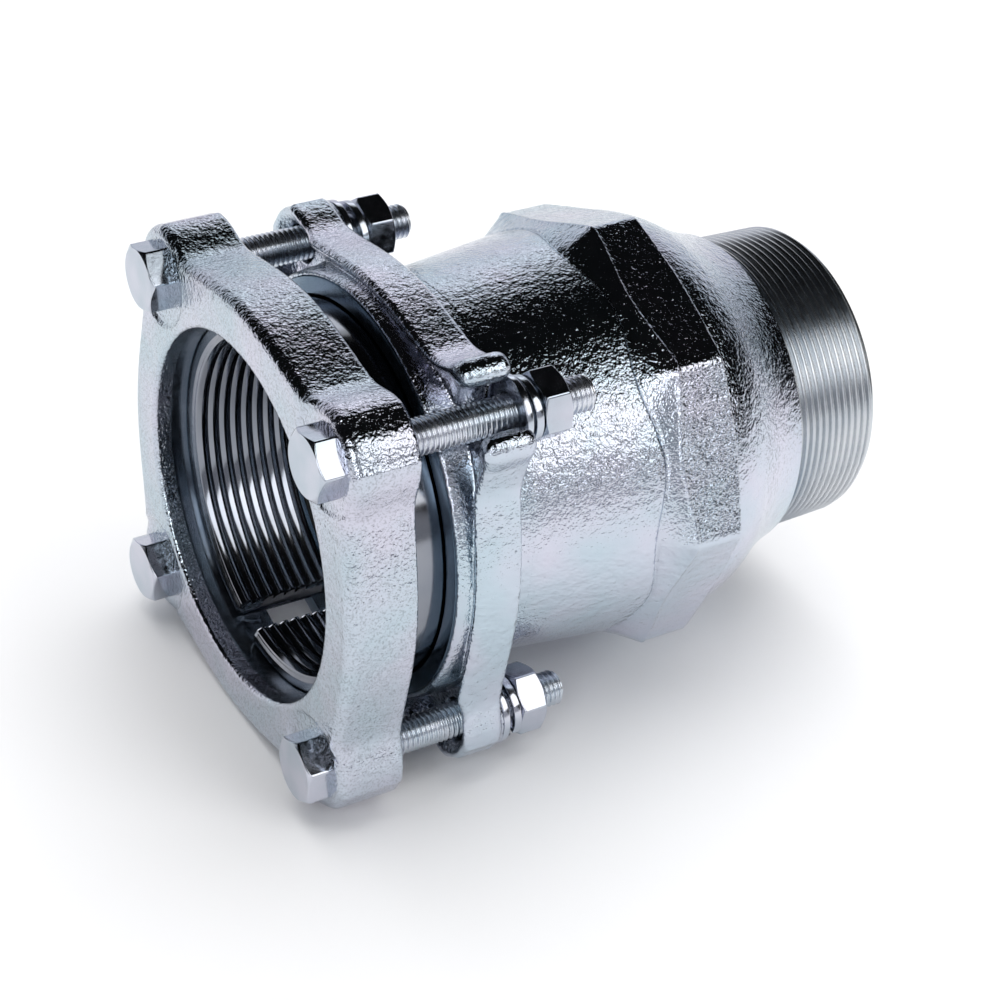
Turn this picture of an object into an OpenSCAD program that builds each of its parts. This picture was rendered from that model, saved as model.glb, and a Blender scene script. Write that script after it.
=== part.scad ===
// Flanged compression fitting for a plain steel pipe, with a taper pipe thread at its other end.
// The pipe axis is X. The pipe comes in from -X, and the male thread points to +X.
// The origin is on the axis, where the body's close pipe bore begins, behind the rubber seal.

/* [Pipe and radial stack] */
// Outside diameter of the pipe that the fitting takes
pipe_d = 88.9; // [76.1:0.1:96]
// Radial room between the pipe and the body's close bore
pipe_play = 1.45; // [0.8:0.05:2.5]
// Radial room that the tips of the grip ring's ridges keep outside the close bore
tip_relief = 0.5; // [0.1:0.1:1.5]
// Height of a ridge on the grip ring
ridge_h = 1.6; // [0.8:0.1:2.4]
// Wall of the grip ring behind its ridges, at its front edge
grip_wall = 3.9; // [3:0.1:6]
// Width of the pressure ring's front edge, outside the grip ring
rim_w = 4.5; // [3:0.1:7]
// Clearance between rings that slide in or on one another
ring_gap = 0.3; // [0.2:0.05:0.5]

/* [Bolts] */
// Room between the edge of a flat washer and the barrel
washer_room = 5; // [4:0.1:9]
// Thread diameter of the bolts
bolt_d = 10; // [8:0.5:12]
// Length of the bolts under the head
bolt_len = 75; // [72:1:90]
// Width across the flats of the bolt heads and nuts
hex_af = 17; // [13:0.5:19]
// Height of the bolt heads
head_h = 6.6; // [5:0.1:8]
// Height of the nuts
nut_h = 8; // [6:0.1:9]
// Outside diameter of the flat washers
washer_d = 20; // [18:0.5:22]
// Thickness of the flat washers
washer_t = 2; // [1.5:0.1:3]
// Outside diameter of the spring washers
spring_d = 18.1; // [16:0.1:20]
// Height of the spring washers, which are hardly pressed together
spring_h = 4.4; // [2.2:0.1:5.5]
// Diameter of the round bolt holes
bolt_hole_d = 11.5; // [11:0.1:14]
// Width of the two open bolt slots in the body
slot_w = 13; // [11:0.1:14]
// Widening of each side of a slot towards its open end
slot_flare = 1; // [0.2:0.1:2]
// Radial room between a bolt's thread crests and its nut
thread_gap = 0.06; // [0.02:0.01:0.09]

/* [Clamp flange] */
// Thickness of the clamp flange
flange_t = 20.4; // [16:0.2:26]
// Depth of the pocket that each bolt head sits in
pocket_depth = 1; // [0.4:0.1:1.5]
// Radius of the pocket round a bolt's axis
pocket_r = 14.5; // [12:0.1:15]
// Distance from the clamp flange's back to the body's mouth
flange_gap = 14; // [9:0.5:18]
// Radius of the clamp flange's corner lugs
lug_r = 12.9; // [10:0.1:14]
// Wall of the clamp flange outside its cone seat, at the middle of a side
flange_ring_wall = 11; // [9:0.1:13]
// Radius of the hollow between the swelling of a side and a lug
flange_blend = 55; // [30:1:90]
// Depth of the plain lead-in of the bore, in front of the cone seat
lead_in = 10; // [7:0.5:12]
// Length of the cone seat
seat_len = 8; // [5:0.5:9]
// Slope of the cone seat against the axis, in degrees
seat_deg = 10; // [6:1:14]

/* [Grip ring] */
// Number of ridges inside the grip ring
ridges = 8; // [6:1:8]
// Distance from one ridge to the next
ridge_pitch = 3.45; // [2.8:0.05:3.5]
// Width of the flat top of a ridge
ridge_top = 1.7; // [0.8:0.1:2]
// Width of the split in the grip ring
split_w = 9.6; // [4:0.5:14]
// Direction of the split about the axis, in degrees from +Y towards +Z
split_deg = 284; // [0:1:360]
// Slope of the grip ring's rear cone against the axis, in degrees
rear_deg = 20; // [12:1:25]

/* [Pressure ring and seal] */
// Thickness of the pressure ring
pressure_t = 6; // [5:0.1:7]
// Thickness of the inner lip of the pressure ring, behind the grip ring
lip_t = 1.2; // [1:0.1:2]
// Thickness of the seal's outer rim
seal_t = 6; // [5:0.1:9]
// Length of the seal's nose in the body, measured from the floor of the mouth
seal_nose = 9; // [6:0.5:11]

/* [Body] */
// Thickness of the body's flange plate
plate_t = 14; // [11:0.5:18]
// Set-back of the plate's front from the mouth
plate_back = 3.5; // [2:0.5:5]
// Wall of the plate outside the mouth, at the middle of a side
plate_ring_wall = 4.2; // [3:0.1:6]
// Radius of the hollow beside a closed lug
closed_blend = 60; // [30:1:90]
// Radius of the hollow beside a slotted lug
slot_blend = 25; // [15:1:50]
// Radius of the two closed corner lugs
closed_lug_r = 10.6; // [9:0.1:12]
// Set-back of the closed lugs' front from the plate's front
closed_lug_back = 2; // [0.5:0.1:3]
// Height of the bosses behind the closed lugs
boss_h = 1.5; // [0.5:0.1:3]
// Radius of the two slotted corner lugs
slot_lug_r = 13.4; // [12:0.1:15]
// Wall of the mouth's collar at its front edge
collar_wall = 1.4; // [1.2:0.1:3]
// Depth of the dished groove round the collar
dish_depth = 4.5; // [2:0.5:6]
// Length of the close pipe bore
land_len = 10; // [6:0.5:14]
// Wall of the barrel outside the bore for the seal's nose
neck_wall = 4.7; // [3.8:0.1:6]
// Growth of the barrel's radius from the plate to the octagon
barrel_flare = 4.7; // [3:0.1:6]
// Wall of the barrel
barrel_wall = 5.6; // [4:0.1:7]
// Distance from the back of the plate to the front of the octagon
barrel_len = 45; // [42:0.5:70]
// Height of the octagon's flats over the barrel
oct_rise = 1.3; // [0.9:0.1:2.5]
// Length over which the octagon's front corners are turned off
oct_chamfer = 10; // [5:0.5:12]
// Length of the octagonal wrench collar
oct_len = 26; // [22:0.5:34]
// Length of the shoulder between the octagon and the thread
shoulder_len = 30.5; // [27:0.5:40]
// Height of the neck over the thread's start
neck_rise = 2.6; // [1.5:0.1:4]
// Radius of the thread's crests at the gauge plane
thread_r = 43.94; // [40:0.01:45]
// Length of the taper thread
thread_len = 29; // [25:0.5:36]
// Distance from the thread's small end to its gauge plane
gauge_len = 20.6; // [18:0.1:24]
// Wall between the thread's small end and the waterway
thread_wall = 3.8; // [3:0.1:6]

/* [Hidden] */
$fn = 96;

eps = 0.01;
far = 400;
zinc = "#b4bcc6";
bright_zinc = "#c8ced6";
black_steel = "#3c4650";
rubber = "#1d1f22";

// Corners of the bolt square, as [side of Y, side of Z], counted round the axis
corners = [[1, 1], [-1, 1], [-1, -1], [1, -1]];
// Direction of a corner of each bolt head and nut, in degrees from +Y towards +Z
head_turn = [46.5, 51.5, 33.5, 40.5];
nut_turn = [22, 16, 42, 24];
// Turn of the split in each spring washer, in degrees
spring_turn = [200, 300, 215, 30];
// Height that each spring washer stands above the others
spring_lift = [0.8, 0, 0, 0];

// Radii from the pipe outwards
pipe_r = pipe_d / 2;
land_r = pipe_r + pipe_play;
tip_r = land_r + tip_relief;
root_r = tip_r + ridge_h;
grip_front_r = root_r + grip_wall;
seat_rise = seat_len * tan(seat_deg);
grip_mid_r = grip_front_r + seat_rise;
seat_front_r = grip_front_r + ring_gap;
seat_rear_r = seat_front_r + seat_rise;
pressure_in_r = grip_mid_r + ring_gap;
pressure_out_r = pressure_in_r + rim_w + ring_gap;
mouth_r = pressure_out_r + ring_gap;
nose_bore_r = land_r + 3.4;
collar_r = mouth_r + collar_wall;
barrel_front_r = nose_bore_r + neck_wall;
barrel_rear_r = barrel_front_r + barrel_flare;
oct_af = 2 * (barrel_rear_r + oct_rise);
flange_ring_r = seat_rear_r + flange_ring_wall;
plate_ring_r = mouth_r + plate_ring_wall;

// Bolt square, set by the barrel and the washers beside it
bolt_circle_r = barrel_front_r + washer_room + washer_d / 2;
half_pitch = bolt_circle_r / sqrt(2);

// Places along the axis, from the close bore forwards
floor_in_x = -seal_nose + 0.2;
floor_slope = 2.6;
floor_x = floor_in_x - floor_slope;
mouth_x = floor_x - 2 * ring_gap - seal_t - pressure_t;
plate_x = mouth_x + plate_back;
plate_rear_x = plate_x + plate_t;
flange_rear_x = mouth_x - flange_gap;
flange_x = flange_rear_x - flange_t;
seat_x = flange_x + lead_in;
head_x = flange_x + pocket_depth;

// Grip ring, from its front edge in the cone seat to its tail in the pressure ring
grip_x = seat_x + ring_gap;
grip_len = ridges * ridge_pitch + 0.6;
grip_rear_x = grip_x + grip_len;
tail_x = mouth_x - 0.6;
tail_drop = (grip_rear_x - tail_x) * tan(rear_deg);

// Places along the axis behind the plate
oct_x = plate_rear_x + barrel_len;
oct_rear_x = oct_x + oct_len;
neck_x = oct_rear_x + shoulder_len;
end_x = neck_x + thread_len;
oct_r = oct_af / 2 / cos(22.5);
taper = 1 / 32;
thread_end_r = thread_r - gauge_len * taper;
thread_start_r = thread_end_r + thread_len * taper;
neck_r = thread_start_r + neck_rise;
waterway_r = thread_end_r - thread_wall;

// Bolts
bolt_r = bolt_d / 2 - thread_gap / 2;
nut_bore_r = bolt_r + thread_gap;
hex_r = hex_af / 2 / cos(30);
washer_hole_r = bolt_d / 2 + 0.5;
spring_hole_r = bolt_d / 2 + 0.1;

// Places along the axis behind lug i: the washers' seat, the spring washer and the nut
function closed(i) = i % 2 == 0;
function seat_at(i) = plate_rear_x + (closed(i) ? boss_h : 0);
function spring_at(i) = seat_at(i) + washer_t;
function spring_len(i) = spring_h + spring_lift[i];
function nut_at(i) = spring_at(i) + spring_len(i) + 0.1;

// Turns a revolved profile of [place along the axis, radius] pairs about the X axis
module turned(profile) {
    rotate([0, 90, 0]) rotate_extrude() polygon([for (p = profile) [p[1], p[0]]]);
}

// Extrudes a flat outline in Y and Z along X, from x0 over the length len
module plate_of(x0, len) {
    translate([x0, 0, 0]) rotate([90, 0, 90]) linear_extrude(len) children();
}

// Places its children on the axis of bolt i
module at_bolt(i) {
    translate([0, corners[i][0] * half_pitch, corners[i][1] * half_pitch]) children();
}

// Points of an arc about the centre c, from angle a0 to a1 in n steps, without its last point
function arc(c, r, a0, a1, n) = [for (k = [0:n - 1]) let (a = a0 + (a1 - a0) * k / n)
    c + r * [cos(a), sin(a)]];

// Half of a corner's outline, from its diagonal (angle 0) to the middle of a side (angle 45):
// the lug's arc, the hollow beside it and the swelling of the side
function half_corner(ring_r, lug, hollow) =
    let (
        a = (bolt_circle_r ^ 2 + (ring_r + hollow) ^ 2 - (lug + hollow) ^ 2) / (2 * bolt_circle_r),
        c = [a, sqrt((ring_r + hollow) ^ 2 - a ^ 2)],
        at_lug = atan2(c[1], c[0] - bolt_circle_r),
        at_ring = atan2(c[1], c[0])
    )
    concat(
        arc([bolt_circle_r, 0], lug, 0, at_lug, 10),
        arc(c, hollow, at_lug - 180, at_ring - 180, 8),
        arc([0, 0], ring_r, at_ring, 45, 4)
    );

// Four round lugs joined by hollow sides that swell at their middle; each lug has its radius and hollow
module lugged_outline(ring_r, lugs, hollows) {
    polygon([for (i = [0:3]) let (
        half = half_corner(ring_r, lugs[i], hollows[i]),
        back = [for (k = [len(half) - 1:-1:1]) [half[k][0], -half[k][1]]],
        turn = 45 + 90 * i
    ) each [for (p = concat([ring_r * [cos(-45), sin(-45)]], back, half))
        [p[0] * cos(turn) - p[1] * sin(turn), p[0] * sin(turn) + p[1] * cos(turn)]]]);
}

// Open slot from the axis of bolt i out through its corner
module corner_slot(i) {
    half = half_pitch;
    translate(half * corners[i]) circle(slot_w / 2);
    near = slot_w / 2 - 0.1;
    wide = slot_w / 2 + slot_flare;
    len = slot_lug_r + 10;
    translate(half * corners[i]) rotate(atan2(corners[i][1], corners[i][0]))
        polygon([[0, -near], [len, -wide], [len, wide], [0, near]]);
}

// Cast body: mouth, flange plate, tapered barrel, octagon, shoulder and male thread
module body() {
    barrel_outside = [
        [mouth_x, 0],
        [mouth_x, collar_r - 0.6], [mouth_x + 1, collar_r], [plate_x + dish_depth + 0.5, collar_r + 0.6],
        [plate_rear_x - 1, collar_r], [plate_rear_x, barrel_front_r + 3],
        [plate_rear_x + 1.2, barrel_front_r + 1], [plate_rear_x + 4, barrel_front_r + 0.2],
        [oct_x, barrel_rear_r], [oct_rear_x - 1, oct_af / 2 - 0.6],
        [oct_rear_x + 0.14 * shoulder_len, oct_af / 2 - 0.9],
        [oct_rear_x + 0.3 * shoulder_len, oct_af / 2 - 2.6],
        [oct_rear_x + 0.5 * shoulder_len, oct_af / 2 - 6],
        [oct_rear_x + 0.68 * shoulder_len, neck_r + 3.6],
        [oct_rear_x + 0.84 * shoulder_len, neck_r + 1.2],
        [neck_x - 0.6, neck_r], [neck_x, neck_r - 0.6],
        [neck_x, thread_start_r], [end_x - 1.5, thread_end_r + 1.5 * taper],
        [end_x, thread_end_r - 1.4], [end_x, 0]
    ];
    core = [
        [mouth_x - 1, 0], [mouth_x - 1, mouth_r], [floor_x, mouth_r], [floor_in_x, nose_bore_r],
        [0, nose_bore_r], [0, land_r], [land_len, land_r],
        [land_len + 4, barrel_front_r + 1.6 - barrel_wall],
        [oct_x, barrel_rear_r - barrel_wall], [oct_rear_x - 6, barrel_rear_r - barrel_wall],
        [oct_rear_x + 0.55 * shoulder_len, waterway_r], [end_x + 1, waterway_r], [end_x + 1, 0]
    ];
    color(zinc) difference() {
        union() {
            difference() {
                plate_of(plate_x, plate_t) lugged_outline(plate_ring_r,
                    [closed_lug_r, slot_lug_r, closed_lug_r, slot_lug_r],
                    [closed_blend, slot_blend, closed_blend, slot_blend]);
                turned([[plate_x - 1, 0], [plate_x - 1, bolt_circle_r + 4], [plate_x, bolt_circle_r + 3],
                    [plate_x + dish_depth, collar_r + 3], [plate_x + dish_depth, 0]]);
                for (i = [0, 2]) at_bolt(i) translate([plate_x - 1, 0, 0]) rotate([0, 90, 0])
                    cylinder(r = closed_lug_r + 3, h = 1 + closed_lug_back);
            }
            for (i = [0, 2]) at_bolt(i) translate([plate_rear_x - 2, 0, 0]) rotate([0, 90, 0])
                cylinder(r = closed_lug_r - 0.4, h = 2 + boss_h);
            turned(barrel_outside);
            intersection() {
                translate([oct_x, 0, 0]) rotate([0, 90, 0]) cylinder(r = oct_r, h = oct_len, $fn = 8);
                turned([[oct_x - 1, 0], [oct_x - 1, barrel_rear_r - 2],
                    [oct_x + oct_chamfer, oct_r + 0.6], [oct_rear_x - 2, oct_r + 0.6],
                    [oct_rear_x + 1, oct_af / 2 + 0.6], [oct_rear_x + 1, 0]]);
            }
        }
        turned(core);
        for (i = [0, 2]) at_bolt(i) translate([plate_x - 1, 0, 0]) rotate([0, 90, 0])
            cylinder(d = bolt_hole_d, h = plate_t + boss_h + 2);
        for (i = [1, 3]) plate_of(plate_x - 1, plate_t + 2) corner_slot(i);
    }
}

// Cast clamp flange: square plate with four holed lugs and a bore with a cone seat
module clamp_flange() {
    color(zinc) difference() {
        plate_of(flange_x, flange_t) lugged_outline(flange_ring_r, [lug_r, lug_r, lug_r, lug_r],
            [flange_blend, flange_blend, flange_blend, flange_blend]);
        turned([
            [flange_x - 1, 0], [flange_x - 1, grip_front_r + 0.6], [flange_x, grip_front_r - 0.4],
            [flange_x + 1, grip_front_r - 0.6], [seat_x, seat_front_r - 0.3], [seat_x, seat_front_r],
            [seat_x + seat_len, seat_rear_r], [seat_x + seat_len, seat_rear_r + 0.5],
            [flange_rear_x + 1, seat_rear_r + 0.5], [flange_rear_x + 1, 0]
        ]);
        for (i = [0:3]) at_bolt(i) rotate([0, 90, 0])
            cylinder(d = bolt_hole_d, h = far, center = true);
        for (i = [0:3]) at_bolt(i) translate([flange_x - 1, 0, 0]) rotate([0, 90, 0])
            cylinder(r = pocket_r, h = 1 + pocket_depth);
    }
}

// Split steel ring with ridges that bite the pipe, and a cone at each end
module grip_ring() {
    first = grip_x + 0.6;
    flank = (ridge_pitch - ridge_top) / 4;
    teeth = [for (k = [0:ridges - 1]) each let (x = first + k * ridge_pitch) [
        [x, tip_r], [x + ridge_top, tip_r],
        if (k < ridges - 1) [x + ridge_top + flank, root_r],
        if (k < ridges - 1) [x + ridge_pitch - flank, root_r]
    ]];
    color(bright_zinc) difference() {
        turned(concat(
            [[grip_x, root_r], [grip_x, grip_front_r], [seat_x + seat_len, grip_mid_r],
                [tail_x, grip_mid_r], [grip_rear_x, grip_mid_r - tail_drop], [grip_rear_x, tip_r]],
            [for (k = [len(teeth) - 1:-1:0]) teeth[k]]
        ));
        rotate([split_deg, 0, 0]) translate([grip_x - 1, 0, -split_w / 2])
            cube([grip_len + 2, mouth_r, split_w]);
    }
}

// Steel ring that sits in the mouth and pushes on the seal, coned inside for the grip ring
module pressure_ring() {
    cone_x = grip_rear_x + ring_gap;
    color(black_steel) turned([
        [mouth_x, pressure_in_r + 0.6], [mouth_x, pressure_out_r - 0.4],
        [mouth_x + 0.4, pressure_out_r], [mouth_x + pressure_t, pressure_out_r],
        [mouth_x + pressure_t, tip_r], [mouth_x + pressure_t - lip_t, tip_r],
        [mouth_x + pressure_t - lip_t, grip_mid_r - tail_drop + ring_gap],
        [mouth_x + 0.6, pressure_in_r]
    ]);
}

// Rubber seal: a rim between pressure ring and floor, and a nose that reaches along the pipe
module seal_ring() {
    front_x = mouth_x + pressure_t + ring_gap;
    color(rubber) turned([
        [front_x, tip_r], [front_x, mouth_r - 0.5], [floor_x - ring_gap, mouth_r - 0.5],
        [floor_in_x - ring_gap, nose_bore_r - ring_gap], [-ring_gap, nose_bore_r - ring_gap],
        [-ring_gap, tip_r + 1], [-ring_gap - 6, tip_r + 0.4]
    ]);
}

// Hexagon prism along X with both or one end's corners turned off at 30 degrees
module hexagon(x0, h, turn, both) {
    cut = (hex_r - hex_af / 2) + 0.1;
    fall = cut * tan(30);
    intersection() {
        translate([x0, 0, 0]) rotate([turn + 30, 0, 0]) rotate([0, 90, 0])
            cylinder(r = hex_r, h = h, $fn = 6);
        turned([
            [x0 - eps, 0], [x0 - eps, hex_r - cut], [x0 + fall, hex_r + eps],
            [x0 + h - (both ? fall : 0), hex_r + eps],
            [x0 + h + eps, both ? hex_r - cut : hex_r + eps], [x0 + h + eps, 0]
        ]);
    }
}

// Fully threaded hexagon bolt i, with its head on the clamp flange
module bolt(i) {
    color(bright_zinc) at_bolt(i) {
        hexagon(head_x - head_h, head_h, head_turn[i], false);
        turned([
            [head_x - eps, 0], [head_x - eps, bolt_r], [head_x + bolt_len - 1, bolt_r],
            [head_x + bolt_len, bolt_r - 1], [head_x + bolt_len, 0]
        ]);
    }
}

// Flat washer i on the back of the body's plate
module flat_washer(i) {
    x0 = seat_at(i);
    x1 = spring_at(i);
    color(bright_zinc) at_bolt(i) turned([
        [x0, washer_hole_r], [x0, washer_d / 2 - 0.3], [x0 + 0.3, washer_d / 2],
        [x1 - 0.3, washer_d / 2], [x1, washer_d / 2 - 0.3], [x1, washer_hole_r]
    ]);
}

// Split spring washer i between the flat washer and the nut
module spring_washer(i) {
    x0 = spring_at(i);
    len = spring_len(i);
    color(bright_zinc) at_bolt(i) difference() {
        turned([[x0, spring_hole_r], [x0, spring_d / 2], [x0 + len, spring_d / 2], [x0 + len, spring_hole_r]]);
        rotate([spring_turn[i], 0, 0]) translate([x0 + len / 2, spring_d / 2, 0])
            rotate([0, 20, 0]) cube([len * 3, spring_d, 1.4], center = true);
    }
}

// Hexagon nut i
module nut(i) {
    color(bright_zinc) at_bolt(i) difference() {
        hexagon(nut_at(i), nut_h, nut_turn[i], true);
        rotate([0, 90, 0]) cylinder(r = nut_bore_r, h = far, center = true);
    }
}

body();
clamp_flange();
grip_ring();
pressure_ring();
seal_ring();
bolt(0);  // bolt_1
bolt(1);  // bolt_2
bolt(2);  // bolt_3
bolt(3);  // bolt_4
flat_washer(0);  // flat_washer_1
flat_washer(1);  // flat_washer_2
flat_washer(2);  // flat_washer_3
flat_washer(3);  // flat_washer_4
spring_washer(0);  // spring_washer_1
spring_washer(1);  // spring_washer_2
spring_washer(2);  // spring_washer_3
spring_washer(3);  // spring_washer_4
nut(0);  // nut_1
nut(1);  // nut_2
nut(2);  // nut_3
nut(3);  // nut_4
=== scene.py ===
"""Looks of a flanged compression fitting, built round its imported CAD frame.

All shape functions work in millimetres in the row frame: X is the pipe axis, +Z is up. Surfaces are
computed as whole numpy arrays and written to Blender in metres.
"""

import math

import bpy
import numpy as np
from mathutils import Matrix, Vector


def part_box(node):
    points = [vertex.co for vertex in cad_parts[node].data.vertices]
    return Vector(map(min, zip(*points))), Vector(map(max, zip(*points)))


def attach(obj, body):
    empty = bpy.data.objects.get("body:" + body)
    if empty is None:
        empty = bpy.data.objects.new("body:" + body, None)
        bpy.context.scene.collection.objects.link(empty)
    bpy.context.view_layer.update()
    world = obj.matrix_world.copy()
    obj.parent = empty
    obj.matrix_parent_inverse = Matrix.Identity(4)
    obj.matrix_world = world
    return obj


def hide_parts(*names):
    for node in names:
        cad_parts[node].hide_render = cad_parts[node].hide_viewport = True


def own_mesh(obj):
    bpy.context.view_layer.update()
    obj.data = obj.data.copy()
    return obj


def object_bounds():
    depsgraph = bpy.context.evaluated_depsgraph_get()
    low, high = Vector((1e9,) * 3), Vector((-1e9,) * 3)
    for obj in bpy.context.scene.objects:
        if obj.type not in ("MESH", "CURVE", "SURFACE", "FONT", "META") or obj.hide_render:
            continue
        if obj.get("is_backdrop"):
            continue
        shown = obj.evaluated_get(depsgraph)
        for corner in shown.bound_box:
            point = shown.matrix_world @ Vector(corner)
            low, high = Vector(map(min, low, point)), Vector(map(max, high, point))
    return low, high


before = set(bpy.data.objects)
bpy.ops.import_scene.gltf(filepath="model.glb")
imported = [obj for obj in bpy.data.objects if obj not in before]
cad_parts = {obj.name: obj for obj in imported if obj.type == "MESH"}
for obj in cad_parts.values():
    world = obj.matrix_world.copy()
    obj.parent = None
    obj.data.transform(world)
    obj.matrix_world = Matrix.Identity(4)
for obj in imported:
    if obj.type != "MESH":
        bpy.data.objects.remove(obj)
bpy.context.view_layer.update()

bl_info = {
    "name": "Flanged compression fitting",
    "version": (1, 0, 0),
    "blender": (4, 2, 0),
    "location": "View3D > Sidebar > Fitting",
    "description": "Cast, turned and threaded pieces of a flanged compression fitting",
    "category": "Add Mesh",
}

MM = 0.001
TAU = 2 * math.pi
CORNERS = ((1, 1), (-1, 1), (-1, -1), (1, -1))


def box_mm(node):
    """Lowest and highest corner of a CAD node in millimetres."""
    low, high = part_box(node)
    return np.array(low) * 1000, np.array(high) * 1000


# Sizes and colours


def in_mm(name, default, description):
    """Property for a size in millimetres."""
    return bpy.props.FloatProperty(name=name, default=default, description=description)


def tint(name, default):
    """Property for an sRGB hex colour."""
    return bpy.props.StringProperty(name=name, default=default, description="sRGB colour as a hex code")


FLANGE_FRONT, FLANGE_BACK = (round(corner[0], 3) for corner in box_mm("clamp_flange"))
BODY_FRONT, BODY_END = (round(corner[0], 3) for corner in box_mm("body"))


class FittingSizes(bpy.types.PropertyGroup):
    """Sizes in millimetres; ends of the castings come from the frame's boxes."""

    half_pitch: in_mm("Half bolt spacing", 48.8, "From the pipe's axis to a bolt, along Y and along Z")
    hole_r: in_mm("Bolt hole radius", 5.75, "Holes of the clamp flange and of the closed lugs")
    flange_x: in_mm("Clamp flange front", FLANGE_FRONT, "Place of the clamp flange's front face")
    flange_rear: in_mm("Clamp flange back", FLANGE_BACK, "Place of the clamp flange's back face")
    flange_ring: in_mm("Clamp flange ring radius", 64.6, "Outside of the ring that joins its lugs")
    flange_side: in_mm("Clamp flange side", 59.6, "From the axis to a straight side")
    flange_lug: in_mm("Clamp flange lug radius", 12.9, "Mean radius of its four lugs")
    seat_x: in_mm("Bearing of the bolt heads", -57.4, "Place where the heads bear on the clamp flange")
    mouth_x: in_mm("Mouth of the body", BODY_FRONT, "Place of the mouth's front edge")
    plate_x: in_mm("Plate front", -20.5, "Place of the front of the body's plate")
    plate_rear: in_mm("Plate back", -6.5, "Place of the back of the body's plate")
    plate_ring: in_mm("Plate ring radius", 62.9, "Outside of the ring that joins its lugs")
    plate_side: in_mm("Plate side", 58.7, "From the axis to a straight side")
    closed_lug: in_mm("Closed lug radius", 10.6, "Lugs of the body with a round hole")
    closed_back: in_mm("Set-back of the closed lugs", 2.0, "Their front lies this far behind the plate's")
    boss: in_mm("Boss behind a closed lug", 1.5, "Height of the washer's seat over the plate's back")
    slot_lug: in_mm("Slotted lug radius", 13.4, "Lugs of the body that are open outwards")
    slot_half: in_mm("Half slot width", 6.5, "Half the width of the slot at the bolt")
    slot_flare: bpy.props.FloatProperty(
        name="Slot flare", default=0.08, description="Growth of the half width for each millimetre outwards")
    slot_shift: in_mm("Slot off the bolt's axis", 1.0, "Sideways shift of both slots")
    knob_r: in_mm("Knob radius", 3.5, "Thick end of each arm beside a slot")
    knob_out: in_mm("Knob distance outwards", 7.6, "From the bolt's axis outwards to the knob")
    knob_side: in_mm("Knob distance sideways", 10.2, "From the slot's middle to the knob")
    apothem: in_mm("Half width of the octagon", 60.0, "From the axis to a wrench flat")
    neck_x: in_mm("Start of the pipe thread", 95.0, "Place where the shoulder ends")
    end_x: in_mm("End of the pipe thread", BODY_END, "Place of the thread's end face")
    thread_end_r: in_mm("Thread radius at the end", 43.3, "Crest radius of the taper thread at its end")
    waterway_r: in_mm("Waterway radius", 39.5, "Bore of the threaded end")
    hexagon_flats: in_mm("Hexagon across flats", 17.0, "Bolt heads and nuts")
    bolt_pitch: in_mm("Pitch of the bolts", 1.5, "Coarse thread of a 10 mm bolt")
    coil: in_mm("Spring washer section", 2.2, "Thickness of the wire that it is wound from")


class FittingColours(bpy.types.PropertyGroup):
    """Colours as sRGB hex codes. Each metal varies in patches between its light and its dark tint."""

    cast_light: tint("Casting, light", "#cbccd9")
    cast_dark: tint("Casting, dark", "#bbcad4")
    coarse_light: tint("Clamp flange, light", "#cbcbd8")
    coarse_dark: tint("Clamp flange, dark", "#b9c8d1")
    machined_light: tint("Turned bore, light", "#a9b3bd")
    machined_dark: tint("Turned bore, dark", "#8d9aa6")
    thread_light: tint("Pipe thread, light", "#d2d5d8")
    thread_dark: tint("Pipe thread, dark", "#b4bbc2")
    fastener_light: tint("Fasteners, light", "#c9cbd6")
    fastener_dark: tint("Fasteners, dark", "#b5bfc9")
    shank_light: tint("Bolt threads, light", "#dcdfe6")
    shank_dark: tint("Bolt threads, dark", "#c4d0d9")
    # The grip ring's two tints are darker than bare steel: partly the steel's own tone, partly painted shade
    # of the bore round it
    ring_shaded_light: tint("Grip ring, light", "#94979e")
    ring_shaded_dark: tint("Grip ring, dark", "#7e838c")
    # The pressure ring's two tints are blue-grey passivated steel, darkened as painted shade of the gap in
    # the mouth
    pressure_shaded_light: tint("Pressure ring, light", "#8295a6")
    pressure_shaded_dark: tint("Pressure ring, dark", "#6b7f90")
    rubber: tint("Seal", "#1b1c1e")
    floor: tint("Floor", "#fcfcfd")
    sky: tint("Surroundings", "#f4f6ff")


def sizes():
    """The scene's sizes."""
    return bpy.context.scene.fitting_sizes


def colours():
    """The scene's colours."""
    return bpy.context.scene.fitting_colours


# Shape helpers


def smooth_min(a, b, k):
    """Union of two distances with a concave fillet: min(a, b) - k h^2 / 4, h = max(1 - |a-b|/k, 0)."""
    h = np.maximum(k - np.abs(a - b), 0) / k
    return np.minimum(a, b) - h * h * k / 4


def smooth_max(a, b, k):
    """Intersection of two distances with a rounded edge, the mirror image of smooth_min."""
    return -smooth_min(-a, -b, k)


def profile(points, sigma=0.0, step=0.1):
    """Function r(x) through (x, r) points; sigma > 0 rounds its corners with a Gaussian of that width."""
    pts = np.array(points, float)
    if not sigma:
        return lambda x: np.interp(x, pts[:, 0], pts[:, 1])
    xs = np.arange(pts[0, 0] - 5 * sigma, pts[-1, 0] + 5 * sigma, step)
    rs = np.interp(xs, pts[:, 0], pts[:, 1])
    t = np.arange(-4 * sigma, 4 * sigma + step, step)
    w = np.exp(-0.5 * (t / sigma) ** 2)
    out = np.convolve(np.pad(rs, len(t) // 2, mode="edge"), w / w.sum(), mode="valid")[: len(xs)]
    return lambda x: np.interp(x, xs, out)


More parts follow.
